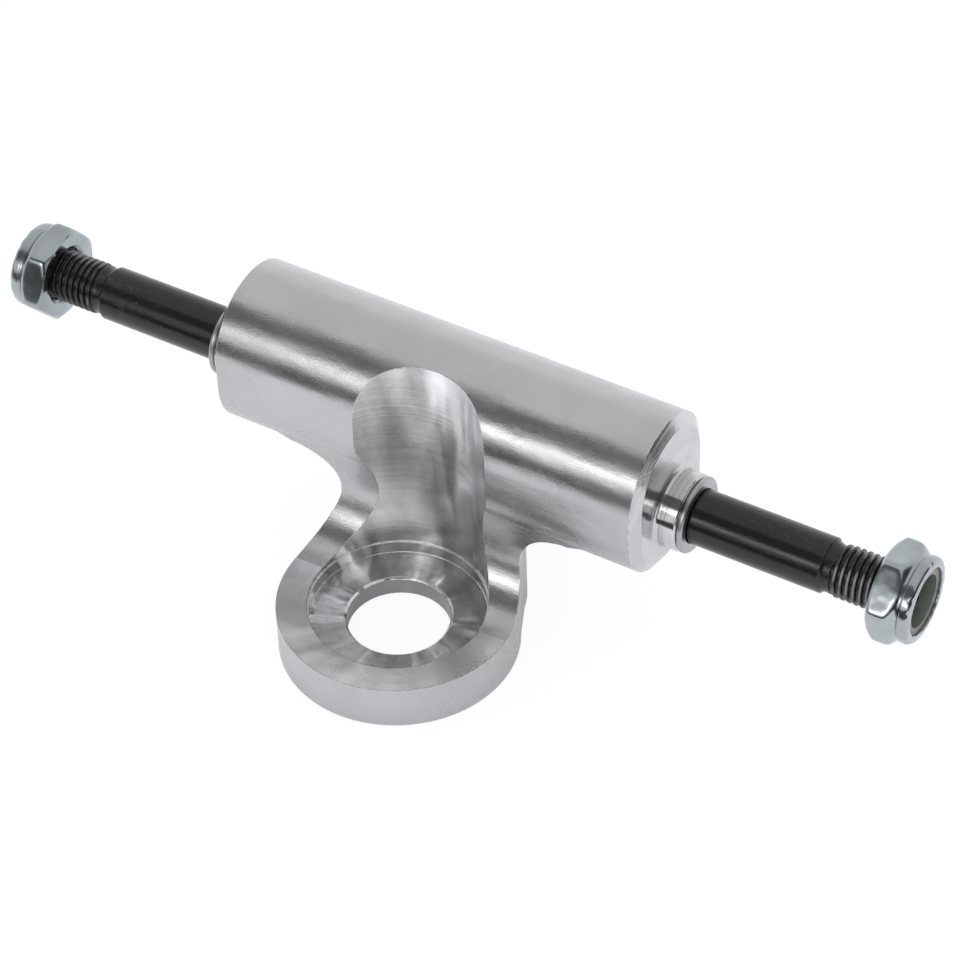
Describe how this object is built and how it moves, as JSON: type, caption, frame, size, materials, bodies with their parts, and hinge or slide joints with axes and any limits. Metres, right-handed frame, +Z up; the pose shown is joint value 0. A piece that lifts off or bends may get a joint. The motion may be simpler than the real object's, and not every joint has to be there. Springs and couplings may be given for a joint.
{
  "type": "roller skate truck",
  "caption": "Roller skate truck: machined hanger with cushion eye, through axle, speed washers, lock nuts and pivot pin.",
  "frame": {"origin": "on the kingpin's axis, on the floor of the upper cushion cup", "axes": "+X along the axle towards the right nut, +Y from the eye towards the barrel, +Z up along the kingpin on the side that faces the ground in use"},
  "size_m": [0.1454, 0.0597, 0.0418],
  "materials": {
    "aluminium": "turned and lightly polished",
    "black_steel": "black oxide steel, satin",
    "zinc_washer": "zinc-plated steel",
    "zinc_nut": "bright zinc-plated steel",
    "nylon": "nylon, slightly translucent"
  },
  "bodies": {
    "hanger": {"hanger": "aluminium", "axle": "black_steel", "pivot_pin": "black_steel", "pivot_jam_nut": "zinc_nut"},
    "washer_left": {"washer_left": "zinc_washer"},
    "nut_insert_left": {"nut_insert_left": "nylon"},
    "nut_left": {"nut_left": "zinc_nut"},
    "washer_right": {"washer_right": "zinc_washer"},
    "nut_insert_right": {"nut_insert_right": "nylon"},
    "nut_right": {"nut_right": "zinc_nut"}
  },
  "joints": [
    {"name": "washer_left_slide", "type": "slide", "parent": "hanger", "child": "washer_left", "axis": [-1, 0, 0], "range_m": [0, 0.02]},
    {"name": "nut_left_advance", "type": "slide", "parent": "hanger", "child": "nut_insert_left", "axis": [-1, 0, 0], "range_m": [-0.008, 0.017]},
    {"name": "nut_left_turn", "type": "hinge", "parent": "nut_insert_left", "child": "nut_left", "pos_m": [-0.0666, 0.018, 0.0223], "axis": [-1, 0, 0], "range_deg": [-2880, 6120]},
    {"name": "washer_right_slide", "type": "slide", "parent": "hanger", "child": "washer_right", "axis": [1, 0, 0], "range_m": [0, 0.02]},
    {"name": "nut_right_advance", "type": "slide", "parent": "hanger", "child": "nut_insert_right", "axis": [1, 0, 0], "range_m": [-0.008, 0.017]},
    {"name": "nut_right_turn", "type": "hinge", "parent": "nut_insert_right", "child": "nut_right", "pos_m": [0.0666, 0.018, 0.0223], "axis": [1, 0, 0], "range_deg": [-2880, 6120]}
  ],
  "couplings": [
    {"joint": "nut_left_advance", "follows": "nut_left_turn", "m_per_rad": 0.00015915},
    {"joint": "nut_right_advance", "follows": "nut_right_turn", "m_per_rad": 0.00015915}
  ]
}
